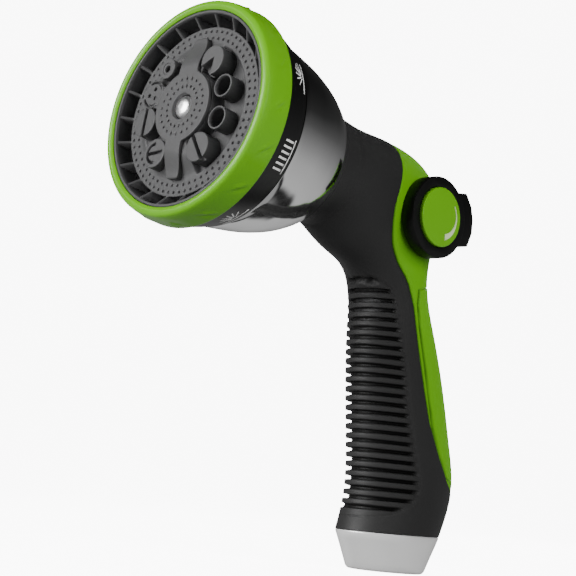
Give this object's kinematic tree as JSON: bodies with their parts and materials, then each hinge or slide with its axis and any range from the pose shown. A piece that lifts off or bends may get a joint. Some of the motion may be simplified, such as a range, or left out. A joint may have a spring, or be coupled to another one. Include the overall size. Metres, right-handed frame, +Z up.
{
  "type": "hose spray nozzle",
  "caption": "Garden hose spray nozzle with a round turning pattern dial, a ribbed soft grip and a thumb valve behind the head.",
  "frame": {"origin": "centre of the hose inlet's mouth", "axes": "+Z up along the inlet's axis, the spray leaves toward -Y and 7.3 degrees up, X across"},
  "size_m": [0.086, 0.1697, 0.2027],
  "materials": {
    "dark_grip": "soft satin",
    "lime_grip": "soft satin",
    "dark_core": "matte",
    "silver": "pearl",
    "brass_insert": "turned",
    "seal_rubber": "matte",
    "steel": "bright",
    "chrome": "polished",
    "lime_gloss": "satin gloss",
    "band_black": "gloss",
    "bush_white": "matte",
    "face_dark": "fine matte",
    "thumb_black": "satin",
    "mark_white": "printed"
  },
  "bodies": {
    "nozzle_body": {"grip_cover": "dark_grip", "spine_cover": "lime_grip", "body_core": "dark_core", "base_collar": "silver", "inlet_insert": "brass_insert", "hose_washer": "seal_rubber", "filter_screen": "steel", "spool_sleeve": "dark_core", "bell_shroud": "chrome", "bell_seal": "seal_rubber", "port_plate": "dark_core", "port_seal": "seal_rubber", "port_spring": "steel", "detent_ball": "steel", "detent_spring": "steel", "centre_screw": "chrome", "screw_washer": "steel"},
    "dial": {"bezel": "lime_gloss", "dial_shell": "band_black", "dial_bush": "bush_white", "face_plate": "face_dark", "hub_disc": "face_dark", "stream_tube_high": "face_dark", "vee_disc": "face_dark", "jet_nozzle": "face_dark", "shower_disc": "face_dark", "slot_disc_left": "face_dark", "arc_disc": "face_dark", "slot_disc_low": "face_dark", "stream_tube_low": "face_dark"},
    "thumb_control": {"thumb_yoke": "thumb_black", "cap_right": "lime_gloss", "cap_left": "lime_gloss", "flow_mark_right": "mark_white", "flow_mark_left": "mark_white", "valve_spool": "brass_insert", "spool_oring_right": "seal_rubber", "spool_oring_left": "seal_rubber", "cap_screws": "steel"}
  },
  "joints": [
    {"name": "dial_turn", "type": "hinge", "parent": "nozzle_body", "child": "dial", "pos_m": [0, -0.1336, 0.1615], "axis": [0, -0.9919, 0.1271], "continuous": true},
    {"name": "thumb_turn", "type": "hinge", "parent": "nozzle_body", "child": "thumb_control", "pos_m": [0, -0.0122, 0.1423], "axis": [1, 0, 0], "range_deg": [-32, 12]}
  ]
}
